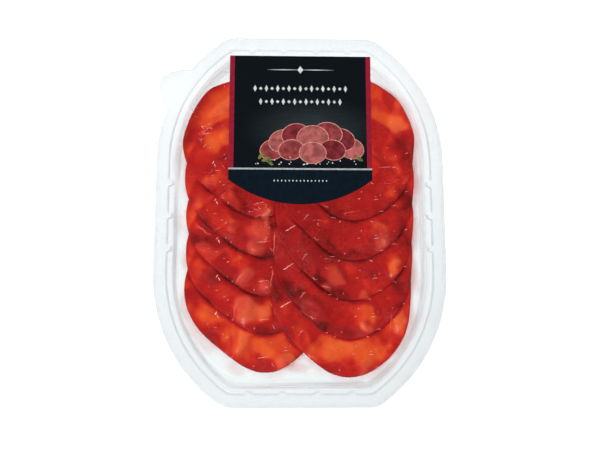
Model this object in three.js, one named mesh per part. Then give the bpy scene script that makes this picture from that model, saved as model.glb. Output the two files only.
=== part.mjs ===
// A sealed retail pack of air-dried beef: a clear formed tray, ten shingled slices in two
// columns, a clear lid film and a label stuck on the film. Millimetres, +Z up. The pack lies
// on its base, centred on the origin, with the label towards +Y.

import * as THREE from 'three';

// Driving dimensions

const pack = {
  width: 185,
  length: 240,
  height: 15,
  sideRadius: 99,
  sideSweep: THREE.MathUtils.degToRad(54.3),
  cornerRadius: 15.8,
  plastic: 0.8,
};

const flange = { width: 8.3, edgeBead: 0.8, edgeDrop: 0.3, lipDepth: 1.9 };
const ledge = { inset: 12.2, depth: 2.4, stepRun: 0.5 };
const well = { footInset: 13.2, endDraft: 2, footHeight: 1.7, footRun: 0.5 };
const notch = { mouth: 5.2, root: 2.2 };
const sideNotches = { places: [0, 21.3], depth: 2.9 };
const endNotches = { places: [10.7, 32], depth: 1.7 };
const tab = { direction: THREE.MathUtils.degToRad(150.9), halfWidth: 15.5, reach: 12.8, bend: 0.65, drop: 1.1 };
const film = { gap: 0.3, thickness: 0.4 };
const label = { width: 92.6, top: 107.1, shoulder: 23.2, bottom: 7, gap: 0.3, thickness: 0.3 };

const slice = {
  thickness: 1,
  gap: 0.3,
  perColumn: 5,
  spokes: 32,
  rings: [0.24, 0.43, 0.61, 0.78, 0.91, 1],
  ruffle: 0.8,
  ruffleWaves: 7,
  rufflePhase: 2,
};

// Each column is cut from one muscle, so its slices share an outline: a mean radius and a few
// waves round it. Slice 1 lies at the label end and on top of its column, and the middle
// slices stand off the straight line from first to last by the bow.
const columns = [
  {
    name: 'left',
    first: { x: -29.8, y: 49.8 },
    last: { x: -26.2, y: -48.6 },
    bow: { x: 1.8, y: -1.4 },
    radius: 47.1,
    waves: [
      { lobes: 2, depth: 1.9, turn: -45 },
      { lobes: 3, depth: 1.3, turn: 36 },
      { lobes: 4, depth: 0.8, turn: 5 },
      { lobes: 5, depth: 1, turn: -15 },
      { lobes: 6, depth: 0.4, turn: -17 },
    ],
  },
  {
    name: 'right',
    first: { x: 32.3, y: 48.6 },
    last: { x: 28, y: -51 },
    bow: { x: 0.6, y: -1.6 },
    radius: 46.7,
    waves: [
      { lobes: 2, depth: 1.7, turn: -77 },
      { lobes: 3, depth: 2.4, turn: 47 },
      { lobes: 4, depth: 0.8, turn: -11 },
      { lobes: 5, depth: 0.6, turn: 6 },
      { lobes: 6, depth: 0.9, turn: 27 },
    ],
  },
];

const cove = { climb: 5, run: 7, clearance: 0.7 };

const mesh = { arcSteps: 13, tabArcSteps: 36, cornerSteps: 4, labelArcSteps: 20 };
const settling = { fieldStep: 2, margin: 1.2, rounds: 70, stiffness: 0.45, sink: 0.03, finalRounds: 30 };

// Shared mesh helpers

function flatten(points) {
  return points.flatMap((p) => [p.x, p.y, p.z]);
}

function meshFrom(name, points, triangles, material) {
  const geometry = new THREE.BufferGeometry();
  geometry.setAttribute('position', new THREE.Float32BufferAttribute(flatten(points), 3));
  geometry.setIndex(triangles.flat());
  geometry.computeVertexNormals();
  const solid = new THREE.Mesh(geometry, material);
  solid.name = name;
  return solid;
}

// A closed body from rings of equal length: the first ring is capped facing up, the last down.
function loft(name, rings, material) {
  const count = rings[0].length;
  const points = rings.flat();
  const triangles = [];
  for (let r = 0; r + 1 < rings.length; r += 1) {
    for (let i = 0; i < count; i += 1) {
      const next = (i + 1) % count;
      const a = r * count + i;
      const b = r * count + next;
      triangles.push([a, a + count, b + count], [a, b + count, b]);
    }
  }
  const lastStart = (rings.length - 1) * count;
  for (const face of THREE.ShapeUtils.triangulateShape(rings[0], [])) triangles.push(face);
  for (const [a, b, c] of THREE.ShapeUtils.triangulateShape(rings[rings.length - 1], [])) {
    triangles.push([lastStart + a, lastStart + c, lastStart + b]);
  }
  return meshFrom(name, points, triangles, material);
}

// Outline of the tray as stations: a point, its outward normal and how deep a notch bites there

const sideCentre = {
  x: pack.width / 2 - pack.sideRadius,
  y: pack.length / 2 - pack.cornerRadius - (pack.sideRadius - pack.cornerRadius) * Math.sin(pack.sideSweep),
};
const cornerCentre = {
  x: sideCentre.x + (pack.sideRadius - pack.cornerRadius) * Math.cos(pack.sideSweep),
  y: sideCentre.y + (pack.sideRadius - pack.cornerRadius) * Math.sin(pack.sideSweep),
};

// Places along a straight run that the notches need, from the middle outwards.
function notchPlaces(notches) {
  const edges = [-notch.mouth, -notch.root, notch.root, notch.mouth].map((width) => width / 2);
  const places = [];
  for (const middle of notches.places) {
    for (const edge of edges) {
      const isRoot = Math.abs(edge) < notch.mouth / 2;
      if (middle + edge > 0) places.push({ at: middle + edge, bite: isRoot ? notches.depth : 0 });
    }
  }
  return places;
}

function arcStations(centre, radius, from, to, steps) {
  const stations = [];
  for (let i = 0; i <= steps; i += 1) {
    const angle = from + ((to - from) * i) / steps;
    const nx = Math.cos(angle);
    const ny = Math.sin(angle);
    stations.push({ x: centre.x + radius * nx, y: centre.y + radius * ny, nx, ny, bite: 0 });
  }
  return stations;
}

// One quarter, from the middle of the +X side round to the middle of the +Y end.
function quarter(arcSteps) {
  const side = notchPlaces(sideNotches).map(({ at, bite }) => ({ x: pack.width / 2, y: at, nx: 1, ny: 0, bite }));
  const end = notchPlaces(endNotches)
    .map(({ at, bite }) => ({ x: at, y: pack.length / 2, nx: 0, ny: 1, bite }))
    .reverse();
  const sideArc = arcStations(sideCentre, pack.sideRadius, 0, pack.sideSweep, arcSteps);
  const cornerArc = arcStations(cornerCentre, pack.cornerRadius, pack.sideSweep, Math.PI / 2, mesh.cornerSteps);
  return [...side, ...sideArc, ...cornerArc.slice(1), ...end];
}

function mirrored(stations, signX, signY) {
  const copy = stations.map((s) => ({ x: s.x * signX, y: s.y * signY, nx: s.nx * signX, ny: s.ny * signY, bite: s.bite }));
  return signX * signY < 0 ? copy.reverse() : copy;
}

// How far the round grip tab reaches beyond the outline at a station.
function tabReach(station) {
  const turned = Math.atan2(station.ny, station.nx) - tab.direction;
  const share = (turned * pack.sideRadius) / tab.halfWidth;
  return Math.abs(share) < 1 ? tab.reach * (1 - share * share) ** 1.1 : 0;
}

function outline() {
  const plain = quarter(mesh.arcSteps);
  const stations = [
    ...mirrored(plain, 1, 1),
    ...mirrored(quarter(mesh.tabArcSteps), -1, 1),
    ...mirrored(plain, -1, -1),
    ...mirrored(plain, 1, -1),
  ];
  return stations.map((station) => ({ ...station, reach: tabReach(station) }));
}

const stations = outline();

// How far round towards an end a point lies, from 0 along the straight sides to 1.
function endShare(y) {
  return Math.max(0, (Math.abs(y) - sideCentre.y) / (pack.length / 2 - sideCentre.y));
}

// A ring of points at a height, both given as a value or as a function of the station. The end
// shift draws the ends in further than the sides.
function ring(inset, height, endShift = 0) {
  const value = (given, station) => (typeof given === 'function' ? given(station) : given);
  return stations.map((s) => {
    const depth = value(inset, s);
    const drawnIn = Math.sign(s.y) * endShift * endShare(s.y) ** 3;
    return new THREE.Vector3(s.x - s.nx * depth, s.y - s.ny * depth - drawnIn, value(height, s));
  });
}

// Tray: flange with a beaded edge, lobed ledge, drafted wall and flat floor

function tabDrop(station) {
  return tab.drop * Math.min(1, (2 * station.reach) / tab.reach);
}

function makeTray(material) {
  const top = pack.height;
  const ledgeTop = top - ledge.depth;
  const lobe = (s) => flange.width + s.bite;
  const edge = (extra) => (s) => extra - s.reach;
  const bend = (s) => 2 * flange.edgeBead - s.reach * tab.bend;
  const under = pack.plastic;
  const rings = [
    ring(well.footInset + well.footRun, under, well.endDraft),
    ring(well.footInset, well.footHeight, well.endDraft),
    ring(ledge.inset, ledgeTop),
    ring((s) => lobe(s) + ledge.stepRun, ledgeTop),
    ring(lobe, top),
    ring(bend, top),
    ring(edge(flange.edgeBead), (s) => top - tabDrop(s)),
    ring(edge(0), (s) => top - flange.edgeDrop - tabDrop(s)),
    ring(edge(0), (s) => top - flange.lipDepth - tabDrop(s)),
    ring(edge(under), (s) => top - flange.lipDepth - tabDrop(s)),
    ring((s) => bend(s) + under / 2, top - under),
    ring((s) => lobe(s) - under, top - under),
    ring((s) => lobe(s) + ledge.stepRun - under, ledgeTop - under),
    ring(ledge.inset - under, ledgeTop - under),
    ring(well.footInset - under, well.footHeight, well.endDraft),
    ring(well.footInset, 0, well.endDraft),
  ];
  return loft('tray', rings, material);
}

function makeFilm(material) {
  const edge = (s) => flange.edgeBead / 2 - s.reach;
  const bottom = pack.height + film.gap;
  return loft('lid_film', [ring(edge, bottom + film.thickness), ring(edge, bottom)], material);
}

// Label: straight sides and an arc along the bottom

function makeLabel(material) {
  const half = label.width / 2;
  const sag = label.shoulder - label.bottom;
  const radius = (half * half + sag * sag) / (2 * sag);
  const sweep = Math.asin(half / radius);
  const shape = new THREE.Shape();
  shape.moveTo(half, label.top);
  shape.lineTo(-half, label.top);
  shape.lineTo(-half, label.shoulder);
  shape.absarc(0, label.bottom + radius, radius, -Math.PI / 2 - sweep, -Math.PI / 2 + sweep, false);
  const geometry = new THREE.ExtrudeGeometry(shape, {
    depth: label.thickness,
    bevelEnabled: false,
    curveSegments: mesh.labelArcSteps,
  });
  const sticker = new THREE.Mesh(geometry, material);
  sticker.name = 'label';
  sticker.position.z = pack.height + film.gap + film.thickness + label.gap;
  return sticker;
}

// How far a point of the well lies inside the outline, the small corner arcs left square.
function insetAt(x, y) {
  const u = Math.abs(x);
  const v = Math.abs(y) + well.endDraft * endShare(y) ** 3;
  const arcInset = pack.sideRadius - Math.hypot(u - sideCentre.x, v - sideCentre.y);
  const sideInset = v < sideCentre.y ? pack.width / 2 - u : arcInset;
  return Math.min(sideInset, pack.length / 2 - v);
}

// Slices lean on the wall, so what they rest on rises in a cove near it.
function coveHeight(x, y) {
  const toWall = Math.max(0, insetAt(x, y) - well.footInset);
  return cove.climb * Math.max(0, 1 - toWall / cove.run) ** 2;
}

// Height field of what a new slice comes to rest on, one value per grid point

function makeField() {
  const step = settling.fieldStep;
  const columnsCount = Math.ceil(pack.width / step) + 1;
  const rows = Math.ceil(pack.length / step) + 1;
  const field = {
    step,
    columns: columnsCount,
    x0: (-(columnsCount - 1) * step) / 2,
    y0: (-(rows - 1) * step) / 2,
    heights: new Float64Array(columnsCount * rows),
  };
  for (let at = 0; at < field.heights.length; at += 1) {
    const x = field.x0 + (at % columnsCount) * step;
    const y = field.y0 + Math.floor(at / columnsCount) * step;
    field.heights[at] = pack.plastic + coveHeight(x, y);
  }
  return field;
}

// Every grid point under a triangle, or within the margin of it, with its weights.
function samplesUnder(field, points, triangles) {
  const samples = [];
  for (const corners of triangles) {
    const [a, b, c] = corners.map((i) => points[i]);
    const area = (b.x - a.x) * (c.y - a.y) - (c.x - a.x) * (b.y - a.y);
    const slack = -settling.margin / Math.sqrt(Math.abs(area));
    const low = (p, q, r, origin) => Math.floor((Math.min(p, q, r) - settling.margin - origin) / field.step);
    const high = (p, q, r, origin) => Math.ceil((Math.max(p, q, r) + settling.margin - origin) / field.step);
    for (let j = low(a.y, b.y, c.y, field.y0); j <= high(a.y, b.y, c.y, field.y0); j += 1) {
      for (let i = low(a.x, b.x, c.x, field.x0); i <= high(a.x, b.x, c.x, field.x0); i += 1) {
        const x = field.x0 + i * field.step;
        const y = field.y0 + j * field.step;
        const wb = ((x - a.x) * (c.y - a.y) - (c.x - a.x) * (y - a.y)) / area;
        const wc = ((b.x - a.x) * (y - a.y) - (x - a.x) * (b.y - a.y)) / area;
        const weights = [1 - wb - wc, wb, wc];
        if (Math.min(...weights) >= slack) samples.push({ at: j * field.columns + i, corners, weights });
      }
    }
  }
  return samples;
}

// Slices

function sliceRadius(column, angle) {
  const wave = ({ lobes, depth, turn }) => depth * Math.cos(lobes * (angle - THREE.MathUtils.degToRad(turn)));
  return column.waves.reduce((sum, w) => sum + wave(w), column.radius);
}

// Reach from a centre along an angle, held back where the wall is nearer.
function heldReach(column, centre, angle) {
  const dx = Math.cos(angle);
  const dy = Math.sin(angle);
  const limit = well.footInset + cove.clearance;
  let reach = sliceRadius(column, angle);
  for (let round = 0; round < 6; round += 1) {
    reach -= Math.max(0, limit - insetAt(centre.x + reach * dx, centre.y + reach * dy));
  }
  return reach;
}

function discTriangles() {
  const { spokes, rings } = slice;
  const triangles = [];
  for (let i = 0; i < spokes; i += 1) {
    const next = (i + 1) % spokes;
    triangles.push([0, 1 + i, 1 + next]);
    for (let r = 0; r + 1 < rings.length; r += 1) {
      const a = 1 + r * spokes + i;
      const b = 1 + r * spokes + next;
      triangles.push([a, a + spokes, b + spokes], [a, b + spokes, b]);
    }
  }
  return triangles;
}

function discPoints(column, centre) {
  const points = [{ x: centre.x, y: centre.y, lift: 0 }];
  for (const share of slice.rings) {
    for (let i = 0; i < slice.spokes; i += 1) {
      const angle = (2 * Math.PI * i) / slice.spokes;
      const reach = share * heldReach(column, centre, angle);
      const ruffle = (1 + Math.cos(slice.ruffleWaves * angle + centre.phase)) / 2;
      points.push({
        x: centre.x + reach * Math.cos(angle),
        y: centre.y + reach * Math.sin(angle),
        lift: slice.ruffle * ruffle * share ** 4,
      });
    }
  }
  return points;
}

function neighboursOf(count, triangles) {
  const neighbours = Array.from({ length: count }, () => new Set());
  for (const [a, b, c] of triangles) {
    neighbours[a].add(b).add(c);
    neighbours[b].add(a).add(c);
    neighbours[c].add(a).add(b);
  }
  return neighbours.map((set) => [...set]);
}

// Raises the corners of each triangle that dips into what lies under it.
function clearSupport(field, points, samples) {
  for (const { at, corners, weights } of samples) {
    const over = corners.reduce((sum, i, k) => sum + weights[k] * (points[i].z - points[i].lift), 0);
    const shortfall = field.heights[at] + slice.gap - over;
    if (shortfall > 0) {
      const spread = weights.reduce((sum, w) => sum + w * w, 0);
      corners.forEach((i, k) => {
        points[i].z += Math.max(0, (shortfall * weights[k]) / spread);
      });
    }
  }
}

// Lays a slice on the field: it slackens towards its neighbours, sinks, and is held up.
function settle(field, points, triangles, samples) {
  const neighbours = neighboursOf(points.length, triangles);
  for (const point of points) point.z = pack.plastic + slice.gap;
  clearSupport(field, points, samples);
  for (let round = 0; round < settling.rounds; round += 1) {
    const means = neighbours.map((list) => list.reduce((sum, i) => sum + points[i].z, 0) / list.length);
    points.forEach((point, i) => {
      point.z += settling.stiffness * (means[i] - point.z) - settling.sink;
    });
    clearSupport(field, points, samples);
  }
  for (let round = 0; round < settling.finalRounds; round += 1) clearSupport(field, points, samples);
}

function coverField(field, points, samples) {
  for (const { at, corners, weights } of samples) {
    const top = corners.reduce((sum, i, k) => sum + weights[k] * points[i].z, 0) + slice.thickness;
    field.heights[at] = Math.max(field.heights[at], top);
  }
}

function sliceSolid(name, points, triangles, material) {
  const count = points.length;
  const bottom = points.map((p) => new THREE.Vector3(p.x, p.y, p.z));
  const top = points.map((p) => new THREE.Vector3(p.x, p.y, p.z + slice.thickness));
  const faces = triangles.map(([a, b, c]) => [a, c, b]);
  for (const [a, b, c] of triangles) faces.push([a + count, b + count, c + count]);
  const rim = count - slice.spokes;
  for (let i = 0; i < slice.spokes; i += 1) {
    const a = rim + i;
    const b = rim + ((i + 1) % slice.spokes);
    faces.push([a, b, b + count], [a, b + count, a + count]);
  }
  return meshFrom(name, [...bottom, ...top], faces, material);
}

function sliceCentre(column, place) {
  const share = (place - 1) / (slice.perColumn - 1);
  const bow = Math.sin(Math.PI * share);
  return {
    x: THREE.MathUtils.lerp(column.first.x, column.last.x, share) + column.bow.x * bow,
    y: THREE.MathUtils.lerp(column.first.y, column.last.y, share) + column.bow.y * bow,
    phase: place * slice.rufflePhase,
  };
}

// The left column is laid first, each column from its far slice up to the label end.
function makeSlices(material) {
  const field = makeField();
  const triangles = discTriangles();
  const solids = [];
  for (const column of columns) {
    for (let place = slice.perColumn; place >= 1; place -= 1) {
      const points = discPoints(column, sliceCentre(column, place));
      const samples = samplesUnder(field, points, triangles);
      settle(field, points, triangles, samples);
      coverField(field, points, samples);
      solids.push(sliceSolid(`slice_${column.name}_${place}`, points, triangles, material));
    }
  }
  return solids;
}

// Materials and the assembled pack

const clearPlastic = { roughness: 0.15, metalness: 0, transparent: true };
const trayPlastic = new THREE.MeshStandardMaterial({ color: 0xe6eceb, opacity: 0.35, ...clearPlastic });
const filmPlastic = new THREE.MeshStandardMaterial({ color: 0xf4f7f7, opacity: 0.12, ...clearPlastic });
const printedPaper = new THREE.MeshStandardMaterial({ color: 0x10151c, roughness: 0.4, metalness: 0 });
const curedBeef = new THREE.MeshStandardMaterial({ color: 0xb02a24, roughness: 0.35, metalness: 0 });

const bresaolaPack = new THREE.Group();
bresaolaPack.add(makeTray(trayPlastic));
bresaolaPack.add(makeFilm(filmPlastic));
bresaolaPack.add(makeLabel(printedPaper));
for (const solid of makeSlices(curedBeef)) bresaolaPack.add(solid);

export default bresaolaPack;
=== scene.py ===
import math
from functools import reduce

import bmesh
import bpy
import numpy as np
from mathutils import Matrix, Vector


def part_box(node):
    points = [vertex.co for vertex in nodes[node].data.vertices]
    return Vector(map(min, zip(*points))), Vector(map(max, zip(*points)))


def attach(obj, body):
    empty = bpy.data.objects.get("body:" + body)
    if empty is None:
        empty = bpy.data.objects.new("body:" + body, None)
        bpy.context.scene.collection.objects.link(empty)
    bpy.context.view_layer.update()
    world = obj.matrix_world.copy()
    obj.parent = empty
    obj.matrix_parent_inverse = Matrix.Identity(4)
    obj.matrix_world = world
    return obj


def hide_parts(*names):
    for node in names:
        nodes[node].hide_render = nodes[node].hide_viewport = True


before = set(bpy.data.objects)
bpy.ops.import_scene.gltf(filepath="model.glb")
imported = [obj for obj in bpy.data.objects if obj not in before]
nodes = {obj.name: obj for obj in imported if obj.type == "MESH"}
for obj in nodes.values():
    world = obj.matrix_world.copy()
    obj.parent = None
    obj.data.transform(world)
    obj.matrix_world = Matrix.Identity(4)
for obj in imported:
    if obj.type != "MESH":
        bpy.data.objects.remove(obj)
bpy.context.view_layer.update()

mm = 0.001
bpy.context.scene.view_settings.view_transform = "Standard"  # keeps the reds as they are set


# Camera, floor and lights

cameraView = {
    "place": (-14.66, -103.70, 524.4),  # mm, nearly straight above the bottom end of the pack
    "turn": (10.828, -1.613, -0.039),  # degrees
    "lens": 48.942,  # mm on a 36 mm sensor
}
studio = {
    "floorSize": 4.0,
    "floorTone": 0.95,
    "floorGlow": 0.12,  # a little light of its own, as on a light table
    "floorRoughness": 0.8,
    "floorDrop": 0.2,  # mm below the pack
    "skyTone": (0.93, 0.97, 1.0),
    "skyTop": 0.06,  # strength overhead, where flat film and meat would mirror it
    "skySide": 0.62,  # strength at the horizon
    "lamps": {  # place and size in metres, power in watts
        "windowLight": {"place": (1.20, 2.20, 1.90), "size": 1.0, "power": 38.0, "mirrored": False},
        "frontLight": {"place": (-0.80, -1.44, 2.30), "size": 0.7, "power": 28.0, "mirrored": True},
        "sideLight": {"place": (-1.80, -0.45, 1.70), "size": 1.0, "power": 41.0, "mirrored": False},
    },
}


def makeCamera():
    camera = bpy.data.objects.new("photoCamera", bpy.data.cameras.new("photoCamera"))
    camera.data.lens = cameraView["lens"]
    camera.data.sensor_width = 36
    camera.data.clip_start = 0.01
    camera.location = [c * mm for c in cameraView["place"]]
    camera.rotation_euler = [math.radians(a) for a in cameraView["turn"]]
    bpy.context.scene.collection.objects.link(camera)
    bpy.context.scene.camera = camera


def makeFloor():
    bm = bmesh.new()
    bmesh.ops.create_grid(bm, x_segments=1, y_segments=1, size=studio["floorSize"] / 2)
    floor = meshObject("studioFloor", bm)
    floor.location.z = -studio["floorDrop"] * mm
    look = [studio[key] for key in ("floorTone", "floorRoughness", "floorGlow")]
    coat(floor, plainMaterial("floorPaper", *look))


def makeLights():
    world = bpy.data.worlds.new("studioWorld")
    world.use_nodes = True
    tree = world.node_tree
    upward = addNode(tree, "SeparateXYZ", {0: addNode(tree, "TexCoord").outputs["Generated"]}).outputs["Z"]
    strength = ranged(upward, 0.0, 0.9, studio["skySide"], studio["skyTop"])
    background = tree.nodes["Background"]
    background.inputs["Color"].default_value = (*studio["skyTone"], 1)
    tree.links.new(strength, background.inputs["Strength"])
    bpy.context.scene.world = world
    for name, lamp in studio["lamps"].items():
        light = bpy.data.lights.new(name, "AREA")
        light.shape = "DISK"
        light.size = lamp["size"]
        light.energy = lamp["power"]
        holder = bpy.data.objects.new(name, light)
        holder.location = lamp["place"]
        holder.visible_glossy = lamp["mirrored"]
        aim = Vector((0, 0, 0)) - Vector(lamp["place"])
        holder.rotation_euler = aim.to_track_quat("-Z", "Y").to_euler()
        bpy.context.scene.collection.objects.link(holder)


# Shared helpers for meshes


def meshObject(name, bm, smooth=False):
    mesh = bpy.data.meshes.new(name)
    bm.to_mesh(mesh)
    bm.free()
    mesh.polygons.foreach_set("use_smooth", [smooth] * len(mesh.polygons))
    piece = bpy.data.objects.new(name, mesh)
    bpy.context.scene.collection.objects.link(piece)
    return piece


def mergedCopy(node, name):
    bm = bmesh.new()
    bm.from_mesh(nodes[node].data)
    bmesh.ops.remove_doubles(bm, verts=bm.verts, dist=0.001 * mm)
    bmesh.ops.dissolve_degenerate(bm, edges=bm.edges, dist=0.0005 * mm)
    return meshObject(name, bm, smooth=True)


def applyModifiers(piece):
    graph = bpy.context.evaluated_depsgraph_get()
    finished = bpy.data.meshes.new_from_object(piece.evaluated_get(graph))
    piece.modifiers.clear()
    piece.data = finished


def roundEdges(piece, width, segments, angle):
    bevel = piece.modifiers.new("roundedEdges", "BEVEL")
    bevel.width = width * mm
    bevel.segments = segments
    bevel.limit_method = "ANGLE"
    bevel.angle_limit = math.radians(angle)
    applyModifiers(piece)


def coat(piece, material):
    piece.data.materials.clear()
    piece.data.materials.append(material)


def smoothByAngle(piece, angle):
    bm = bmesh.new()
    bm.from_mesh(piece.data)
    for edge in bm.edges:
        edge.smooth = len(edge.link_faces) == 2 and edge.calc_face_angle() < math.radians(angle)
    for face in bm.faces:
        face.smooth = True
    bm.to_mesh(piece.data)
    bm.free()


# Shared helpers for materials


def newMaterial(name):
    material = bpy.data.materials.new(name)
    material.use_nodes = True
    material.node_tree.nodes.clear()
    return material, material.node_tree


def finished(material, shader):
    addNode(material.node_tree, "OutputMaterial", {"Surface": shader.outputs[0]})
    return material


def isSocket(value):
    return isinstance(value, bpy.types.NodeSocket)


# where is a tree or a socket in it, and inputs maps a socket's name or place to a value or to a node's output
def addNode(where, kind, inputs=None, **settings):
    tree = where.id_data
    node = tree.nodes.new("ShaderNode" + kind)
    for name, value in settings.items():
        setattr(node, name, value)
    for socket, value in (inputs or {}).items():
        if isSocket(value):
            tree.links.new(value, node.inputs[socket])
        else:
            node.inputs[socket].default_value = value
    return node


def math2(operation, first, second=0.0):
    where = first if isSocket(first) else second
    return addNode(where, "Math", {0: first, 1: second}, operation=operation).outputs[0]


def times(first, second):
    return math2("MULTIPLY", first, second)


def plus(first, second):
    return math2("ADD", first, second)


def minus(first, second):
    return math2("SUBTRACT", first, second)


def larger(first, second):
    return math2("MAXIMUM", first, second)


def ranged(value, low, high, outLow=0.0, outHigh=1.0):
    inputs = {"Value": value, "From Min": low, "From Max": high, "To Min": outLow, "To Max": outHigh}
    return addNode(value, "MapRange", inputs, interpolation_type="SMOOTHSTEP").outputs[0]


def mixColour(amount, first, second):
    first, second = [colour if isSocket(colour) else (*colour, 1) for colour in (first, second)]
    return addNode(amount, "Mix", {"Factor": amount, 6: first, 7: second}, data_type="RGBA").outputs[2]


def noise(vector, scale, detail=2.0, roughness=0.5, distortion=0.0, output="Fac"):
    inputs = {"Vector": vector, "Scale": scale, "Detail": detail, "Roughness": roughness, "Distortion": distortion}
    return addNode(vector, "TexNoise", inputs).outputs[output]


def vectorMath(operation, *inputs):
    return addNode(inputs[0], "VectorMath", dict(enumerate(inputs)), operation=operation).outputs[0]


def lengthOf(vector):
    return addNode(vector, "VectorMath", {0: vector}, operation="LENGTH").outputs["Value"]


def mapped(vector, turn, scale):
    return addNode(vector, "Mapping", {"Vector": vector, "Rotation": (0, 0, turn), "Scale": scale}).outputs[0]


def strayed(place, field, scale, reach, centred=False):  # a place moved about by the noise at field
    shift = noise(field, scale, output="Color")
    place = vectorMath("MULTIPLY_ADD", shift, (reach, reach, 0), place)
    return vectorMath("ADD", place, (-reach / 2, -reach / 2, 0)) if centred else place


def ovalReach(vector, x, y, turn, halfLength, halfWidth):  # 0 in the middle of an oval, 1 at its outline
    shape = addNode(vector, "Mapping", {
        "Vector": vector,
        "Location": (x, y, 0),
        "Rotation": (0, 0, turn),
        "Scale": (halfLength, halfWidth, 1),
    }, vector_type="TEXTURE")
    return lengthOf(shape.outputs[0])


def spotMask(flat, spot):
    x, y, length, width, turn, strength = spot
    reach = ovalReach(flat, x * mm, y * mm, math.radians(turn), length * mm, width * mm)
    return ranged(reach, 1.5, 0.4, 0, strength)


def plainMaterial(name, tone, roughness, glow):
    material, tree = newMaterial(name)
    shader = addNode(tree, "BsdfPrincipled", {
        "Base Color": (tone, tone, tone, 1),
        "Roughness": roughness,
        "Emission Color": (1, 1, 1, 1),
        "Emission Strength": glow,
    })
    return finished(material, shader)


# Slices: what each one rests on is worked out on a fine grid, in laying order

sliceShape = {
    "layingOrder": [f"slice_{side}_{n}" for side in ("left", "right") for n in (5, 4, 3, 2, 1)],
    "gridStep": 0.75,  # mm
    "thickness": 1.0,
    "rimThickness": 0.35,  # share of the thickness left at the very edge
    "rimWidth": 1.3,  # mm over which the edge thins out
    "gap": 0.1,  # mm between one slice and the next
    "drapeRounds": 30,
    "softenRounds": 2,
    "refineLevels": 3,
    "cornerAngle": 50,  # degrees, corners that stay crisp while the mesh is made finer
    "cornerCrease": 0.85,
    "smoothAngle": 48,
    "cutSpan": 100,  # mm of the cut face that its UV spans
    "floorHeight": 0.8,
    "pocketRise": 2.0,
    "waviness": 0.8,  # mm that trapped air lifts a slice between its pockets
    "foldHeight": 0.9,  # mm, small ridges where a slice has crept together
    "wander": 1.5,  # mm by which the outlines of pockets stray
    "straySeed": 31,
    "strayRounds": 12,
    "looseRounds": 60,  # how broad the loose places are
    "patchRounds": 90,
    "foldRounds": 80,
    "foldSharpness": 4,
    "liftedGap": (1.7, 3.6),  # mm of air below a slice, from where to where it looks lifted
}
trayWall = {  # mm, what the slices lean on
    "halfWidth": 92.5, "halfLength": 120, "sideRadius": 99, "endY": 36.6, "inset": 13.2, "run": 7, "climb": 5,
}
# raised, paler places, a few of them at highlights where the pallor is a painted highlight: x and y on the pack,
# half length, half width, turn in degrees, height, mm
airPocketsAndHighlights = {
    "slice_left_1": [
        (-43, 12, 7.5, 4.5, -60, 1.1), (-26, 4, 6, 4.5, 0, 0.8), (-22.5, 0.2, 3.4, 2, 10, 1.5),
        (-57, 25, 7, 5, 50, 0.9), (-52, 76, 10, 4, 40, 0.7),
    ],
    "slice_left_2": [
        (-43, -7, 6.5, 4, -35, 1.1), (-26.5, -8, 6.5, 7, 0, 1.0), (-28.5, -21.5, 4, 2.4, -10, 1.7),
        (-66, 9, 6, 4, 60, 0.8),
    ],
    "slice_left_3": [
        (-57, -22, 9, 5, -15, 1.2), (-34.5, -38, 5.5, 4.2, 55, 2.1), (-22, -44, 3.2, 3.4, 0, 2.3),
        (-45, -25, 6, 4, 0, 0.7),
    ],
    "slice_left_4": [(-35, -59, 8, 6.2, 84, 1.7), (-46, -46, 6, 5, -20, 0.4), (-24, -62, 6, 3.6, 0, 1.0)],
    "slice_left_5": [
        (-57, -66, 8, 4.5, -45, 0.35), (-36, -77, 8, 4, 80, 1.2), (-9, -91, 6, 3.5, 70, 1.5),
    ],
    "slice_right_1": [(60, 15, 6, 5, 40, 0.4), (64, 66, 7, 5, -30, 0.9), (33, 3.6, 7, 1.8, 5, 0.6)],
    "slice_right_2": [
        (54, -17, 4.6, 3.2, 50, 1.8), (52, -9, 6, 5, 0, 0.8), (36, -15, 6, 5, 0, 0.5),
        (12, 2, 7, 4, -40, 0.6),
    ],
    "slice_right_3": [
        (23.5, -38, 7.5, 4.6, -40, 1.6), (17.5, -44.6, 3.6, 1.8, -25, 1.7), (60, -33, 4.8, 4, 50, 1.2),
        (41, -51, 6, 2.5, 10, 1.2),
    ],
    "slice_right_4": [
        (6, -56, 8, 4, -15, 1.3), (41, -70, 4, 3.6, 40, 1.7), (45, -63, 7, 4, 0, 0.7),
        (0, -40, 5, 3.5, 0, 0.5),
    ],
    "slice_right_5": [
        (-12, -58, 6, 4, 20, 0.9), (41, -96, 5, 3, 70, 1.3), (63, -65, 8, 3.2, 82, 1.0),
        (22, -84, 12, 5, 0, 0.4),
    ],
}
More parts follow.
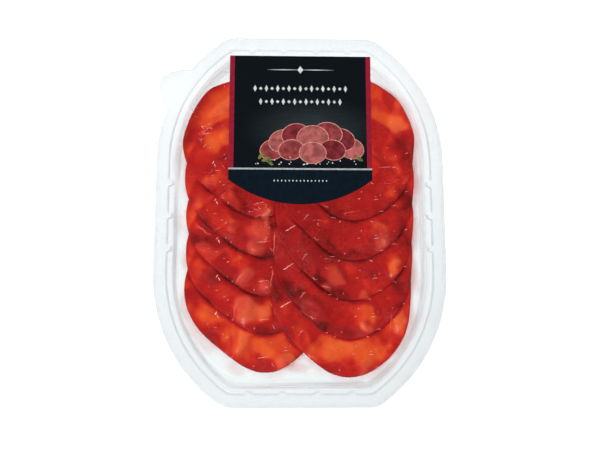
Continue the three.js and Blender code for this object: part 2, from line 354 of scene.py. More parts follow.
# darker places, where slices lie close and where shade is painted under upper slices' edges and beside lumps: the
# same, but how much deeper in layers instead of the height
pressedAndShadedPlaces = {
    "slice_left_1": [
        (-55, 15, 5, 3, 10, 2.2), (-34.5, 7, 2, 4, 0, 1.4), (-70, 57, 4, 8, 10, 1.4),
        (-49, 43, 10, 2.5, 35, 1.0),
    ],
    "slice_left_2": [
        (-41, 2.6, 11, 2, -28, 1.6), (-61, -5, 6, 2.2, -40, 1.6), (-20.5, -24.4, 4.4, 2.6, 0, 2.4),
        (-18, -4, 1.6, 5, 0, 2.0), (-36, -12, 2.2, 4, -20, 1.0), (-30, -16, 4, 4, 0, 1.3),
    ],
    "slice_left_3": [
        (-64, -16, 9, 4.5, -5, 2.4), (-40, -19.5, 11, 2.2, -27, 1.8), (-47, -39, 9, 3.6, -8, 2.9),
        (-30, -47, 5, 2.5, -20, 1.4), (-55, -40, 8, 4.5, 0, 3.2), (-67, -42, 4, 5, 0, 1.2),
    ],
    "slice_left_4": [
        (-60, -54, 6, 2.4, -52, 2.0), (-47, -64, 5, 3, -15, 1.4), (-22, -73, 9, 4, -8, 1.8),
        (-20, -51, 8, 3, -10, 2.4), (-55, -39, 7, 4, 0, 1.5),
    ],
    "slice_left_5": [
        (-57, -78, 6, 4, -40, 1.6), (-26, -97, 15, 5, -4, 1.5), (-73, -50, 3, 8, 0, 0.9),
        (-22, -93, 6, 4, 0, 1.8), (-69, -46, 4, 6, 0, 1.4), (-52, -71, 5, 4, 0, 0.9),
    ],
    "slice_right_1": [
        (57, 4, 5, 2, 20, 1.8), (70, 14, 4.5, 7, 0, 2.8), (25, 4, 6, 3, -30, 1.0),
        (45, 78, 6, 8, -50, 1.0), (70, 49, 9, 9, 0, 2.6), (58, 82, 5, 5, 0, 1.4), (65, 8, 4, 3, 30, 1.6),
        (56, 1, 4, 4, 0, 1.6),
    ],
    "slice_right_2": [
        (68, -11, 3.4, 5, 0, 2.4), (34, -25, 10, 2.2, -5, 1.8), (22, -19, 9, 1.8, -38, 1.6),
        (70, 9, 4, 8, 0, 2.6), (64, 6, 5, 3.4, 20, 1.8), (48, -15, 4, 4, 0, 1.3), (56, -2, 4, 4, 0, 1.2),
    ],
    "slice_right_3": [
        (68, -42, 3.5, 6, 10, 2.4), (47, -39, 4, 4, 0, 1.3), (12.5, -40, 6, 2.6, -25, 3.0),
        (27, -50, 7, 2.6, -25, 1.8), (58, -44, 5, 2, 40, 1.2), (67, -16, 3.4, 5, 0, 1.8),
    ],
    "slice_right_4": [
        (14.5, -69, 4, 2.4, -35, 3.0), (28, -73, 11, 3.4, -5, 1.8), (-5, -50, 12, 5, -25, 2.8),
        (15, -62, 3, 5, 0, 1.4), (61, -57, 3, 7, -30, 1.8), (54, -56, 4, 4, 0, 1.3),
        (63, -46, 4.5, 5, 0, 2.0), (39, -54, 5, 3, 0, 1.3),
    ],
    "slice_right_5": [
        (-15, -49, 6, 4, 0, 2.0), (-9, -74, 4, 6, 10, 1.4), (25, -99, 20, 5.5, 0, 1.3),
        (62, -86, 4, 5, 50, 0.8), (54, -77, 5, 5, 0, 0.9),
    ],
}
thinPlaces = {  # paler places that lie flat: the same, and how much less deep in layers
    "slice_left_1": [(-58, 50, 9, 9, 80, 2.2), (-52, 28, 10, 6, 80, 1.4), (-45, 17, 4, 4, 0, 1.2)],
    "slice_left_2": [(-37, -8, 4, 4, 0, 1.1)],
    "slice_left_3": [(-44.5, -24, 5, 4, 0, 1.1)],
    "slice_right_1": [(64, 28, 11, 5.5, 80, 1.3)],
    "slice_right_2": [(17, -16, 6, 4, 0, 1.4), (-13, 5, 4, 5, 0, 1.2)],
    "slice_right_3": [(62, -29, 9, 5, 85, 2.4)],
    "slice_right_4": [(47, -63, 5, 4, 0, 1.0)],
    "slice_right_5": [(32, -78, 10, 3, 0, 1.5), (1, -62, 5, 4, 0, 1.3), (54, -85, 5, 4, 0, 0.9)],
}


class Grid:
    def __init__(self):
        step = sliceShape["gridStep"]
        self.xs = np.arange(-trayWall["halfWidth"], trayWall["halfWidth"] + step, step)
        self.ys = np.arange(-trayWall["halfLength"], trayWall["halfLength"] + step, step)
        self.x, self.y = np.meshgrid(self.xs, self.ys)
        self.step = step
        rng = np.random.default_rng(sliceShape["straySeed"])
        stray = [blurred(rng.normal(size=self.x.shape), sliceShape["strayRounds"]) for _ in range(2)]
        self.strayX, self.strayY = [field / field.std() * sliceShape["wander"] for field in stray]

    def sample(self, field, x, y):
        u = np.clip((x - self.xs[0]) / self.step, 0, len(self.xs) - 1.001)
        v = np.clip((y - self.ys[0]) / self.step, 0, len(self.ys) - 1.001)
        i, j = u.astype(int), v.astype(int)
        fu, fv = u - i, v - j
        bottom = field[j, i] * (1 - fu) + field[j, i + 1] * fu
        top = field[j + 1, i] * (1 - fu) + field[j + 1, i + 1] * fu
        return bottom * (1 - fv) + top * fv


def blurred(field, rounds=1):
    for _ in range(rounds):
        for axis in (0, 1):
            field = (np.roll(field, 1, axis) + 2 * field + np.roll(field, -1, axis)) / 4
    return field


def smoothStep(value, low, high):
    share = np.clip((value - low) / (high - low), 0, 1)
    return share * share * (3 - 2 * share)


def rimDistance(x, y, rim):  # mm to the closed rim line, positive inside
    nearest = np.full(x.shape, 1e9)
    inside = np.zeros(x.shape, bool)
    for (ax, ay), (bx, by) in zip(rim, np.roll(rim, -1, 0)):
        dx, dy = bx - ax, by - ay
        share = np.clip(((x - ax) * dx + (y - ay) * dy) / (dx * dx + dy * dy), 0, 1)
        nearest = np.minimum(nearest, (x - ax - share * dx) ** 2 + (y - ay - share * dy) ** 2)
        if ay != by:
            crosses = ((ay > y) != (by > y)) & (x < ax + (y - ay) * dx / dy)
            inside ^= crosses
    return np.sqrt(nearest) * np.where(inside, 1, -1)


def alongOval(toX, toY, turn, halfLength, halfWidth):  # both are 0 in its middle and reach 1 at its outline
    c, d = math.cos(turn), math.sin(turn)
    return (toX * c + toY * d) / halfLength, (toY * c - toX * d) / halfWidth


def spotField(grid, spots, crispness):  # elliptic spots, the strongest one at each place
    field = np.zeros_like(grid.x)
    for x, y, halfLength, halfWidth, turn, amount in spots:
        toX, toY = grid.x + grid.strayX - x, grid.y + grid.strayY - y
        u, v = alongOval(toX, toY, math.radians(turn), halfLength, halfWidth)
        field = np.maximum(field, amount * np.exp(-((u * u + v * v) ** crispness) * 0.8))
    return field


def looseness(grid, seed, rounds):  # 0 where a slice clings to the one below, 1 where air lifts it
    rng = np.random.default_rng(seed)
    field = blurred(rng.normal(size=grid.x.shape), rounds)
    field = blurred(field, 2) / field.std()
    return smoothStep(field, -0.1, 0.9)


def foldLines(grid, seed):  # 1 along the crests of small folds
    rng = np.random.default_rng(seed + 200)
    field = blurred(rng.normal(size=grid.x.shape), sliceShape["foldRounds"])
    return np.exp(-np.abs(field / field.std()) * sliceShape["foldSharpness"])


def wallCove(grid):  # the rise of what slices lean on near the tray's wall
    u, v = np.abs(grid.x), np.abs(grid.y)
    centreX = trayWall["halfWidth"] - trayWall["sideRadius"]
    arcInset = trayWall["sideRadius"] - np.hypot(u - centreX, v - trayWall["endY"])
    inset = np.where(v < trayWall["endY"], trayWall["halfWidth"] - u, arcInset)
    inset = np.minimum(inset, trayWall["halfLength"] - v)
    toWall = np.maximum(0, inset - trayWall["inset"])
    return trayWall["climb"] * np.maximum(0, 1 - toWall / trayWall["run"]) ** 2


def vertexPlaces(mesh):
    places = np.empty(len(mesh.vertices) * 3)
    mesh.vertices.foreach_get("co", places)
    return places.reshape(-1, 3)


def markSides(mesh):  # 1 on the upper face of a slice and -1 on the lower, kept as an attribute
    places = vertexPlaces(mesh)
    _, column = np.unique(np.round(places[:, :2] / (0.005 * mm)), axis=0, return_inverse=True)
    middle = np.bincount(column.ravel(), places[:, 2]) / np.bincount(column.ravel())
    side = np.sign(places[:, 2] - middle[column.ravel()])
    mesh.attributes.new("side", "FLOAT", "POINT").data.foreach_set("value", side)


def readVertices(mesh):
    side = np.empty(len(mesh.vertices))
    mesh.attributes["side"].data.foreach_get("value", side)
    return vertexPlaces(mesh) / mm, side


def rimLine(places, side, centre):
    edge = places[np.abs(side) < 0.01][:, :2]
    return edge[np.argsort(np.arctan2(edge[:, 1] - centre[1], edge[:, 0] - centre[0]))]


def creaseCorners(mesh, angle, amount):  # keeps the corners of a mesh while it is made finer
    bm = bmesh.new()
    bm.from_mesh(mesh)
    crease = bm.edges.layers.float.new("crease_edge")
    for edge in bm.edges:
        if len(edge.link_faces) == 2 and edge.calc_face_angle() > math.radians(angle):
            edge[crease] = amount
    bm.to_mesh(mesh)
    bm.free()


def refinedSlice(node):
    piece = mergedCopy(node, node.replace("slice", "beefSlice"))
    markSides(piece.data)
    creaseCorners(piece.data, sliceShape["cornerAngle"], sliceShape["cornerCrease"])
    finer = piece.modifiers.new("finer", "SUBSURF")
    finer.levels = finer.render_levels = sliceShape["refineLevels"]
    applyModifiers(piece)
    return piece


def settledSheet(grid, support, inside, node, seed):  # a slice slackened over what it rests on
    shape = sliceShape
    lift = shape["pocketRise"] * spotField(grid, airPocketsAndHighlights[node], 2.2)
    waves = shape["waviness"] * looseness(grid, seed, shape["looseRounds"])
    lift += waves + shape["foldHeight"] * foldLines(grid, seed)
    low = support + shape["gap"] + lift
    sheet = low.copy()
    weight = inside.astype(float)
    spread = np.maximum(blurred(weight), 1e-6)
    for _ in range(shape["drapeRounds"]):
        slack = np.where(inside, blurred(sheet * weight) / spread, low)
        sheet = np.maximum(low, slack)
    return blurred(sheet, shape["softenRounds"])


edgeShadowSpots = [  # where the edge of an upper slice casts a painted shadow line: x, y, reach in mm and strength
    (-41, 4, 9, 0.9), (-26, -1.5, 7, 0.8), (-63, -6, 7, 0.8), (-41, -18, 9, 1.0), (-24, -25.5, 6, 1.1),
    (-62, -30, 8, 0.4), (-47, -41, 8, 0.9), (-33, -48, 7, 1.0), (-61, -53, 7, 0.9), (-48, -66, 6, 0.6),
    (-36, -70, 6, 0.5), (-22, -77, 9, 0.5), (-62, 17, 6, 0.7), (20, 3, 7, 1.2), (36, -2.5, 9, 0.7),
    (56, 3, 7, 0.6), (2, -9, 8, 0.6), (17, -20, 8, 1.3), (36, -27, 10, 0.9), (3, -37, 7, 0.6),
    (15, -46, 7, 1.3), (30, -53, 8, 0.8), (2, -60, 8, 0.8), (14, -70, 5, 1.2), (30, -77, 9, 0.5),
    (48, -71, 6, 0.4), (60, -57, 6, 0.7), (66, -38, 7, 0.9), (68, -12, 6, 0.9), (69, 12, 7, 0.9),
    (-8, -80, 7, 0.4),
]
meatDepth = {  # how dark the meat looks, counted in layers that light passes, with painted shade added beside and under upper slices' edges
    "alone": 1.25,
    "firstMore": 1.2,  # what the second layer adds, and a share of it for the third
    "eachMore": 0.33,
    "edgeReach": 2.2,  # mm beside an upper slice's edge where shade is painted
    "edgeAmount": 2.7,
    "edgeMost": 3.2,
    "creaseReach": 0.75,  # mm, the painted shadow line right under that edge
    "creaseAmount": 5.4,
    "creaseMost": 4.5,
    "pressedAndShadedAmount": 1.9,
    "rimReach": 3.5,  # mm inside a slice's own edge that look darker, partly painted shade where the edge bends down
    "rimAmount": 1.1,
    "pocketAmount": 1.25,  # how much paler a raised pocket is, in a few places a painted highlight
    "pocketMost": 1.5,
    "clingAmount": 1.3,  # how much darker a clinging place is than a loose one
    "underReach": 2.4,  # mm inside the edge of a slice that shows from below
    "underAmount": 0.9,
    "underMost": 1.3,
    "least": 0.3,
}


def edgeShadowStrength(grid, seed):  # how strong the painted shadow of a slice's edge is on what lies below it
    strength = 0.05 + 0.14 * looseness(grid, seed + 50, sliceShape["patchRounds"])
    for x, y, reach, amount in edgeShadowSpots:
        strength += amount * np.exp(-(((grid.x - x) ** 2 + (grid.y - y) ** 2) / reach**2) ** 1.5)
    return strength


def total(grid, fields):
    return sum(fields, np.zeros_like(grid.x))


def lightDepth(grid, others, under, edges, creases, spots, ownDistance, seed):
    pockets, pressedAndShaded, thin = spots
    look = meatDepth
    count = total(grid, others)
    depth = blurred(look["alone"] + look["firstMore"] * (1 - np.exp(-count)) + look["eachMore"] * count, 3)
    loose = looseness(grid, seed, sliceShape["looseRounds"])
    stacked = np.minimum(1, count)
    depth += look["clingAmount"] * (0.5 - loose) * (0.35 + 0.65 * stacked)
    patchy = 0.35 + 0.65 * looseness(grid, seed + 50, sliceShape["patchRounds"])
    # painted shade beside upper slices' edges
    depth += np.minimum(total(grid, edges), look["edgeMost"])
    depth += look["underAmount"] * np.minimum(total(grid, under), look["underMost"])
    # a darker band inside the slice's own edge, partly painted shade
    rim = np.exp(-((np.maximum(0, ownDistance) / look["rimReach"]) ** 2))
    depth += look["rimAmount"] * rim * (1.3 - patchy)
    depth -= look["pocketAmount"] * np.minimum(look["pocketMost"], spotField(grid, pockets, 3))
    depth -= spotField(grid, thin, 1.1)
    # darker pressed places, partly painted shade
    depth = blurred(np.maximum(look["least"], depth) + look["pressedAndShadedAmount"] * spotField(grid, pressedAndShaded, 1.1), 1)
    # the painted shadow line right under upper slices' edges
    return depth + np.minimum(total(grid, creases), look["creaseMost"])


def strokeOval(stroke):  # middle, turn and half length of the oval that a fold fills
    x1, y1, x2, y2 = stroke[:4]
    halfLength = math.hypot(x2 - x1, y2 - y1) * meatLook["foldReach"]
    return (x1 + x2) / 2, (y1 + y2) / 2, math.atan2(y2 - y1, x2 - x1), halfLength


# the small folds as one height, because the bump repeats all that feeds it and has no room for a mask of each
def foldRelief(x, y, strokes):
    height = np.zeros_like(x)
    for stroke in strokes:
        middleX, middleY, turn, halfLength = strokeOval(stroke)
        u, v = alongOval(x - middleX, y - middleY, turn, halfLength, stroke[4])
        height += stroke[5] * smoothStep(np.hypot(u, v), meatLook["foldFade"], 0.0)
    return height


def sideOf(node):
    return "left" if "left" in node else "right"


def shapeSlices(grid):  # with the attributes depth, lifted, rim, outline and fold, and the place in the cut as UV
    support = sliceShape["floorHeight"] + wallCove(grid)
    pieces, depths, sheets, gaps = [], [], [], []
    for order, node in enumerate(sliceShape["layingOrder"]):
        piece = refinedSlice(node)
        places, side = readVertices(piece.data)
        centre = places[:, :2].mean(0)
        rim = rimLine(places, side, centre)
        depth = rimDistance(grid.x, grid.y, rim)
        sheet = settledSheet(grid, support, depth > -1.0, node, order)
        gaps.append(sheet - support)
        top = sheet + sliceShape["thickness"]
        support = np.where(depth > 0, np.maximum(support, top), support)
        pieces.append((piece, places, side, centre, rim))
        depths.append(depth)
        sheets.append(sheet)
    covers = [smoothStep(d, -0.4, 0.8) for d in depths]
    outside = [np.maximum(0, -d) for d in depths]
    look = meatDepth
    fading = lambda distance, kind: np.exp(-((distance / look[kind + "Reach"]) ** 2))
    clear = [edgeShadowStrength(grid, n) for n in range(len(pieces))]
    # painted shade beside, and a painted shadow line under, each upper slice's edge
    edges, creases = [
        [look[kind + "Amount"] * c * fading(d, kind) for c, d in zip(clear, outside)] for kind in ("edge", "crease")
    ]
    unders = [
        fading(d, "under") * (d > 0) * (1 - 0.9 * smoothStep(total(grid, covers[:n]), 0, 2))
        for n, d in enumerate(depths)
    ]
    for order, (piece, places, side, centre, rim) in enumerate(pieces):
        node = sliceShape["layingOrder"][order]
        x, y = places[:, 0], places[:, 1]
        toRim = np.maximum(0, rimDistance(x, y, rim))
        share = np.clip(toRim / sliceShape["rimWidth"], 0, 1)
        edge = sliceShape["rimThickness"]
        thickness = sliceShape["thickness"] * (edge + (1 - edge) * np.sqrt(1 - (1 - share) ** 2))
        places[:, 2] = grid.sample(sheets[order], x, y) + (1 + side) * thickness / 2
        piece.data.vertices.foreach_set("co", (places * mm).ravel())
        sooner, later = slice(order), slice(order + 1, None)
        spots = (airPocketsAndHighlights[node], pressedAndShadedPlaces[node], thinPlaces.get(node, []))
        own = (depths[order], order)
        fromAbove = lightDepth(grid, covers[sooner], unders[sooner], edges[later], creases[later], spots, *own)
        fromBelow = lightDepth(grid, covers[later], [], edges[sooner], creases[sooner], ([], [], []), *own)
        depth = np.where(side > 0, grid.sample(fromAbove, x, y), grid.sample(fromBelow, x, y))
        lifted = smoothStep(grid.sample(blurred(gaps[order], 2), x, y), *sliceShape["liftedGap"])
        bare = 1 - np.minimum(1, blurred(total(grid, covers[sooner]), 2))
        # outline: how dark the slice's own rim is drawn, partly painted shade
        outline = grid.sample(np.clip(np.maximum(0.8 * bare, clear[order]), 0, 1), x, y)
        fold = foldRelief(x, y, foldStrokes[sideOf(node)])
        fields = {"depth": depth, "lifted": lifted, "rim": toRim, "outline": outline, "fold": fold}
        for name, values in fields.items():
            piece.data.attributes.new(name, "FLOAT", "POINT").data.foreach_set("value", values)
        corners = np.empty(len(piece.data.loops), int)
        piece.data.loops.foreach_get("vertex_index", corners)
        local = (places[:, :2] - centre) / sliceShape["cutSpan"] + 0.5
        piece.data.uv_layers.new(name="cut").data.foreach_set("uv", local[corners].ravel())
        piece.data.update()
        smoothByAngle(piece, sliceShape["smoothAngle"])
    return [entry[0] for entry in pieces]


# Meat material

meatLook = {
    "tones": [  # depth in layers and the colour there
        (0.0, (0.86, 0.155, 0.045)),
        (1.0, (0.75, 0.086, 0.021)),
        (2.0, (0.57, 0.027, 0.0150)),
        (3.0, (0.435, 0.0130, 0.0110)),
        (4.5, (0.350, 0.0092, 0.0094)),
        (6.5, (0.220, 0.0060, 0.0060)),
        (9.0, (0.115, 0.0032, 0.0034)),
    ],
    "deepest": 10.0,
    "lifted": (0.60, 0.062, 0.044),
    "ridgeAndHighlight": (0.80, 0.19, 0.13),
    # dark rim colour, in part painted edge shade; also the colour of dark fibres
    "rimDark": (0.15, 0.006, 0.009),
    "fat": (1.0, 0.55, 0.50),
    "foldReach": 0.6,  # half length of a fold's oval, as a share of the fold's own length
    "foldFade": 1.3,  # where a fold has faded out, 1 being the outline of its oval
    "facets": 0.9,  # how much the painted shade of small facets differs, in layers
    "roughness": (0.08, 0.25),  # from wet places to dry ones
    "rimRoughness": 0.7,
    "deepRoughness": 0.48,
    "passedLight": (0.80, 0.46, 0.44),  # what a lamp's light keeps at each face of a slice
}
# specks of fat, a few of them painted glints: x and y from the slice's centre, half length, half width, all mm,
# turn in degrees and strength
fatFlecksAndGlints = {
    "left": [
        (-27.3, -12.6, 1.6, 0.55, 60, 1), (-26.0, -14.6, 1.8, 0.5, -65, 1), (-35, 12, 2.2, 0.5, -55, 0.4),
        (-33, -1, 2.0, 0.5, 60, 0.4), (-20, -7, 1.4, 0.4, 30, 0.4), (-19, -10, 1.8, 0.4, 50, 0.5),
        (-17, -8.5, 1.2, 0.35, 70, 0.4), (-20, -28, 1.4, 0.4, 30, 0.5), (-22.5, -26, 1.0, 0.4, 0, 0.5),
        (5, -14, 6, 0.3, 12, 0.45), (-17, -41, 2.4, 0.4, 60, 0.4), (3, -40.5, 5, 0.4, 8, 0.45),
        (9, -45, 2.6, 0.4, -55, 0.35),
    ],
    "right": [
        (-36.4, -4.4, 4.8, 0.42, 31, 0.9), (-39.2, -6.2, 1.8, 0.62, 24, 1), (15, -25, 1.5, 0.4, -25, 0.8),
        (-5.7, -25, 1.1, 0.45, 60, 0.8), (-10, -22.5, 2.6, 0.4, 0, 0.45), (38.5, -4, 1.3, 0.4, 20, 0.7),
        (-22, -37, 2.2, 0.5, -50, 0.4), (24, -14, 6, 0.28, 4, 0.5), (-14, -17, 2.2, 0.35, -50, 0.4),
        (-17, 3, 3.4, 0.3, 60, 0.4), (6, -36, 1.2, 0.4, 10, 0.5), (-28, -23, 4.0, 0.35, 52, 0.4),
        (-45.6, -10, 8, 0.35, 84, 0.3),
    ],
}
# small folds, mm on the pack: x and y of both ends, half width, and how much paler in layers; the paler ones partly
# painted highlight, the darker ones partly painted shade
foldStrokes = {
    "left": [
        (-41.5, -43.5, -35.5, -35, 1.1, 1.2), (-42.5, -67, -40.5, -53, 0.9, 0.8),
        (-24.5, -1, -18.5, 5.5, 1.6, 1.3), (-31.5, 8.6, -24, 7.4, 0.8, 0.9),
        (-31, 4.4, -24, 4.2, 0.7, 0.6), (-31.5, -0.4, -25, 0.8, 0.8, 0.9),
        (-28, -17, -19.5, -16, 0.6, 1.1), (-57, -9.5, -49, -5.5, 0.9, 0.8),
        (-67, -3.5, -56, -13, 1.0, 1.1), (-53, 10.5, -46, 18.5, 0.7, 0.9), (-19, -54, -14, -66, 0.6, 0.9),
        (-33, -20.5, -26, -23, 1.5, 0.8), (-36, 12, -35, 3, 1.6, -1.3), (-28.5, -36, -28, -46, 1.4, -1.1),
        (-18.6, -1, -18, -10, 1.2, -1.8), (-25.5, -24.6, -19.3, -24.2, 1.5, -1.3),
        (-67, -1, -57.5, -10.2, 1.4, -1.6), (-38, -7, -33, -16, 1.4, -0.9),
        (-49.5, -52, -50, -62, 2.2, -0.7), (-31, -82, -31, -92, 2.4, -0.4),
        (-44, -70, -43, -88, 1.6, -0.4), (-56, -71, -50, -79, 2.6, -0.9), (-22, 6, -21.5, -8, 3.0, 0.9),
        (-68, -50, -66, -60, 3.5, -1.2), (-70, 52, -69, 60, 4.0, -1.0), (-63, -38, -56, -41, 3.5, -1.2),
        (-69, 19, -69, 28, 3.5, -1.2), (-31, -13, -28, -19, 3.0, -0.9),
    ],
    "right": [
        (-16.2, -7, -17.1, -25, 0.55, 1.9), (-17.4, -30, -18.6, -46, 0.6, 1.7),
        (-14.3, -14, -15.2, -26, 1.4, 0.5), (13.5, -44.2, 19.5, -46.8, 0.8, 1.4),
        (-0.5, -58.6, 9.5, -66, 0.6, 1.0), (-6.5, -82, 1, -86, 0.6, 0.8), (51, -13, 55.5, -20, 2.2, 0.9),
        (38.5, -67, 42, -73, 2.0, 0.9), (25, 2.6, 40, 4.8, 1.0, 0.8), (14.5, 9, 18.5, 5.5, 0.7, 1.2),
        (12, -4, 22, -1.5, 0.8, 0.6), (58.5, -60, 58.2, -70, 0.8, 0.9), (38, -53.5, 47, -50.5, 1.2, 0.8),
        (-12, 2, -1, -9, 1.2, 0.5), (9, -37.5, 17.5, -41.5, 2.4, -1.6), (50.5, -5, 49.5, -18, 1.8, -0.8),
        (27, -31, 31, -42, 1.6, -0.8), (29, -15, 29.5, -24, 2.0, -0.7), (10.5, -52, 17, -62, 1.8, -1.0),
        (-12, -66, -7, -79, 3.0, -0.9), (33, -86, 33, -96, 2.6, -0.5), (56, -78, 54, -90, 2.4, -0.5),
        (2, -20, 9, -26, 2.6, -0.5), (48, -10, 47, -22, 3.0, -1.3), (-2, -44, 5, -50, 3.5, -2.0),
        (1, -72, 1.5, -82, 3.0, -1.2), (62, -72, 61, -82, 3.0, -1.0),
    ],
}
# fine white threads between the muscles: x, y on the pack, half length, half width, turn, strength
threadPlaces = {
    "left": [
        (-25, 4.5, 7, 5, 0, 0.6), (-23, -9, 5, 8, 0, 0.4), (-20, -48, 3, 9, 0, 0.5),
        (-62, 62, 4, 12, -30, 0.7), (-51, 30, 9, 6, 30, 0.5),
    ],
    "right": [
        (10, -4, 9, 5, 20, 0.4), (-19, -24, 2.4, 16, 0, 0.6), (62, 24, 9, 4, 10, 0.5),
        (59, -66, 3, 5, 0, 0.5), (20, -30, 8, 6, -30, 0.3),
    ],
}


def strokeMask(place, stroke):
    x, y, turn, halfLength = strokeOval(stroke)
    reach = ovalReach(place, x * mm, y * mm, turn, halfLength * mm, stroke[4] * mm)
    return ranged(reach, meatLook["foldFade"], 0.0, 0, stroke[5])


def fleckMask(uv, fleck):
    x, y, length, width, turn, strength = fleck
    span = sliceShape["cutSpan"]
    size = (0.8 * length / span, 0.5 * width / span)
    reach = ovalReach(uv, 0.5 + x / span, 0.5 + y / span, math.radians(turn), *size)
    return ranged(reach, 1.05, 0.55, 0, strength)


def chosenCells(vector, scale, channel, share, fade):  # some cells of a pattern, as small spots
    cells = addNode(vector, "TexVoronoi", {"Vector": vector, "Scale": scale, "Randomness": 1.0})
    chance = addNode(vector, "SeparateColor", {"Color": cells.outputs["Color"]}).outputs[channel]
    chosen = ranged(chance, *share)
    return times(ranged(cells.outputs["Distance"], *fade), chosen)


def meatMaterial(side):
    look = meatLook
    material, tree = newMaterial(f"curedBeef_{side}")
    attribute = lambda name: addNode(tree, "Attribute", attribute_name=name).outputs["Fac"]
    uv = addNode(tree, "UVMap", uv_map="cut").outputs[0]
    place = addNode(tree, "TexCoord").outputs["Object"]

    # colour by how much meat the light passes, unevenly, with painted shade of small facets and at the rim, and
    # painted highlight and shade along small folds
    blotch = noise(place, 110, 3, 0.55, 0.4)
    broad = noise(place, 45)
    uneven = times(minus(blotch, 0.5), 1.1)
    uneven = plus(uneven, times(minus(broad, 0.5), 1.2))
    drift = strayed(place, place, 130, 0.008)
    # painted shade of small facets, a random tone for each
    facets = addNode(tree, "TexVoronoi", {"Vector": drift, "Scale": 105.0, "Smoothness": 0.25}, feature="SMOOTH_F1")
    facet = addNode(tree, "SeparateColor", {"Color": facets.outputs["Color"]}).outputs[0]
    uneven = plus(uneven, times(minus(facet, 0.5), look["facets"]))
    uneven = times(uneven, ranged(attribute("depth"), 1.2, 3.2, 0.45, 1.0))
    wander = strayed(place, place, 220, 0.0026, centred=True)
    flat = vectorMath("MULTIPLY", wander, (1, 1, 0))
    # small folds: the paler strokes partly painted highlight, the darker ones partly painted shade
    folds = reduce(plus, [strokeMask(flat, stroke) for stroke in foldStrokes[side]])
    uneven = minus(uneven, folds)
    # painted shade along the slice's own rim, where outline says
    rim = attribute("rim")
    thinRim = times(ranged(rim, 1.5, 0.1), ranged(blotch, 0.38, 0.62, 0.2, 1.1))
    thinRim = plus(thinRim, ranged(rim, 0.9, 0.2, 0.0, 1.8))
    thinRim = times(thinRim, attribute("outline"))
    uneven = plus(uneven, thinRim)
    depth = math2("DIVIDE", plus(attribute("depth"), uneven), look["deepest"])
    ramp = addNode(tree, "ValToRGB", {"Fac": depth})
    for _ in look["tones"][2:]:
        ramp.color_ramp.elements.new(0.5)
    for element, (at, tone) in zip(ramp.color_ramp.elements, look["tones"]):
        element.position = at / look["deepest"]
        element.color = (*tone, 1)
    colour = ramp.outputs["Color"]
    colour = mixColour(times(attribute("lifted"), 0.6), colour, look["lifted"])
    colour = mixColour(ranged(folds, 0.3, 1.3, 0.0, 0.6), colour, look["ridgeAndHighlight"])

    # muscle bundles, fibres, a painted shade line at the rim, specks and streaks of fat, a few flecks painted
    # glints
    warp = strayed(uv, uv, 6, 0.06)
    bundles = addNode(tree, "TexVoronoi", {"Vector": warp, "Scale": 30.0}, feature="DISTANCE_TO_EDGE")
    bundleEdge = ranged(bundles.outputs["Distance"], 0.12, 0.0)
    bundleEdge = times(bundleEdge, ranged(blotch, 0.4, 0.65, 0.0, 0.22))
    colour = mixColour(bundleEdge, colour, look["lifted"])
    grain = noise(mapped(warp, 0.6, (14, 60, 1)), 2.2, 3, 0.6)
    colour = mixColour(ranged(grain, 0.5, 0.85, 0, 0.15), colour, look["lifted"])
    colour = mixColour(ranged(grain, 0.48, 0.2, 0, 0.30), colour, look["rimDark"])
    # painted shade: a broken dark line at the rim
    brokenRim = times(ranged(rim, 0.7, 0.15), ranged(blotch, 0.4, 0.65, 0.0, 0.45))
    brokenRim = times(brokenRim, attribute("outline"))
    colour = mixColour(brokenRim, colour, look["rimDark"])
    speck = chosenCells(warp, 34.0, 0, (0.80, 0.86), (0.15, 0.06))
    streak = chosenCells(mapped(warp, -0.9, (9, 60, 1)), 1.0, 1, (0.84, 0.9), (0.2, 0.06))
    fat = larger(times(speck, 0.4), times(streak, 0.4))
    ragged = strayed(uv, place, 900, 0.012, centred=True)
    for fleck in fatFlecksAndGlints[side]:
        fat = larger(fat, fleckMask(ragged, fleck))
    fat = times(fat, ranged(noise(place, 1100), 0.35, 0.6, 0.75, 1.5))
    thread = noise(mapped(drift, -0.45, (0.4, 1, 1)), 190, 2, 0.5, 0.5)
    thread = ranged(math2("ABSOLUTE", minus(thread, 0.5)), 0.012, 0.002)
    webs = reduce(plus, [spotMask(flat, spot) for spot in threadPlaces[side]])
    webs = times(webs, ranged(noise(place, 300, 1), 0.45, 0.65))
    fat = larger(fat, times(thread, webs))
    colour = mixColour(fat, colour, look["fat"])

    # moist surface
    fine = noise(place, 900, 3, 0.6)
    crinkle = noise(place, 260, 2, 0.5, 0.6)
    wet = noise(place, 420, 3, 0.6, 0.5)
    height = plus(times(fine, 0.35), times(grain, 0.65))
    crinkle = plus(crinkle, times(attribute("fold"), 0.45))
    broadBump = addNode(tree, "Bump", {"Height": crinkle, "Strength": 0.35, "Distance": 0.6 * mm}).outputs[0]
    bump = addNode(tree, "Bump", {"Height": height, "Strength": 0.5, "Distance": 0.3 * mm, "Normal": broadBump})
    roughness = ranged(wet, 0.42, 0.6, *look["roughness"])
    roughness = larger(roughness, ranged(rim, 1.4, 0.5, 0.0, look["rimRoughness"]))
    deep = ranged(attribute("depth"), 2.5, 4.2, 0.0, look["deepRoughness"])
    shader = addNode(tree, "BsdfPrincipled", {
        "Base Color": colour,
        "Roughness": larger(roughness, deep),
        "IOR": 1.4,
        "Specular IOR Level": 0.27,
        "Normal": bump.outputs[0],
    })
    glow = addNode(tree, "BsdfTransparent", {"Color": (*look["passedLight"], 1)})
    ray = addNode(tree, "LightPath").outputs["Is Shadow Ray"]
    return finished(material, addNode(tree, "MixShader", {0: ray, 1: shader.outputs[0], 2: glow.outputs[0]}))


def makeSlices():
    materials = {side: meatMaterial(side) for side in ("left", "right")}
    pieces = shapeSlices(Grid())
    for node, piece in zip(sliceShape["layingOrder"], pieces):
        coat(piece, materials[sideOf(node)])
        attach(piece, "root")
        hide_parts(node)
    print("slices laid:", len(pieces))


# Tray and film

